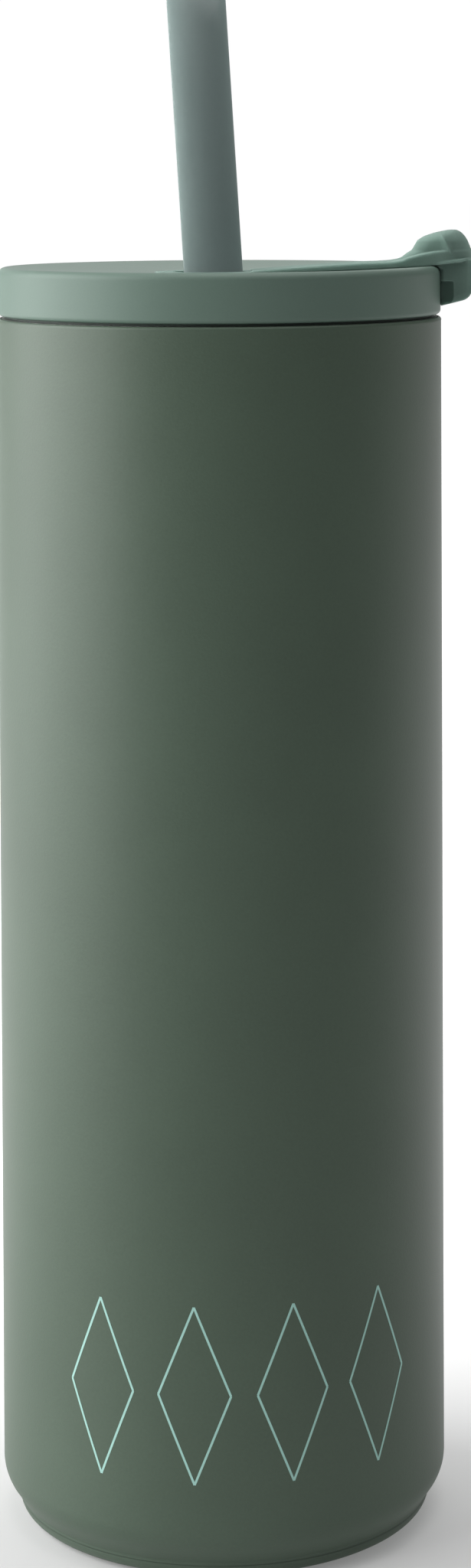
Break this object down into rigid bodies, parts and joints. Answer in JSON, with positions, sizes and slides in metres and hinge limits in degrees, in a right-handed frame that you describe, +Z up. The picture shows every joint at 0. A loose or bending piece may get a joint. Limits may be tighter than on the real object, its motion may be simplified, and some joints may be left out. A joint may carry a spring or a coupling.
{
  "type": "insulated straw tumbler",
  "caption": "Slim double-walled vacuum tumbler with a push-in straw lid, a loose reusable straw and a folding silicone stopper on a strap.",
  "frame": {"origin": "centre of the face that the tumbler stands on", "axes": "+Z up along the cup's axis, +X towards the stopper's finger tab, +Y away from the side that carries the line graphic"},
  "size_m": [0.0749, 0.07, 0.2401],
  "materials": {
    "powder_coat": "fine matte powder coat, grey-green",
    "bare_steel": "satin stainless steel",
    "foil": "bright foil",
    "getter_metal": "dull sintered metal",
    "seal_glass": "fused solder glass",
    "pad_rubber": "matte silicone rubber, dark grey-green",
    "lid_plastic": "satin moulded plastic, grey-green",
    "insert_plastic": "satin moulded plastic, grey-green",
    "seal_silicone": "matte silicone, dark grey-green",
    "stopper_silicone": "matte silicone, grey-green",
    "straw_plastic": "matte straw, blue-grey green"
  },
  "bodies": {
    "cup": {"outer_shell": "powder_coat", "base_cap": "powder_coat", "inner_liner": "bare_steel", "reflector_foil": "foil", "getter": "getter_metal", "getter_bracket": "bare_steel", "seal_bead": "seal_glass", "base_pad": "pad_rubber"},
    "seal": {"lid_gasket": "seal_silicone"},
    "lid": {"lid_cap": "lid_plastic", "lid_insert": "insert_plastic", "stopper_ring": "stopper_silicone"},
    "stopper": {"stopper_arm": "stopper_silicone"},
    "straw": {"straw": "straw_plastic"}
  },
  "joints": [
    {"name": "lid_lift", "type": "slide", "parent": "cup", "child": "seal", "axis": [0, 0, 1], "range_m": [0, 0.04]},
    {"name": "lid_turn", "type": "hinge", "parent": "seal", "child": "lid", "pos_m": [0, 0, 0.19], "axis": [0, 0, 1], "continuous": true},
    {"name": "stopper_fold", "type": "hinge", "parent": "lid", "child": "stopper", "pos_m": [0.0168, 0, 0.1965], "axis": [0, -1, 0], "range_deg": [0, 105]},
    {"name": "straw_lift", "type": "slide", "parent": "lid", "child": "straw", "axis": [-0.0592, -0.0522, 0.9969], "range_m": [0, 0.15]}
  ]
}
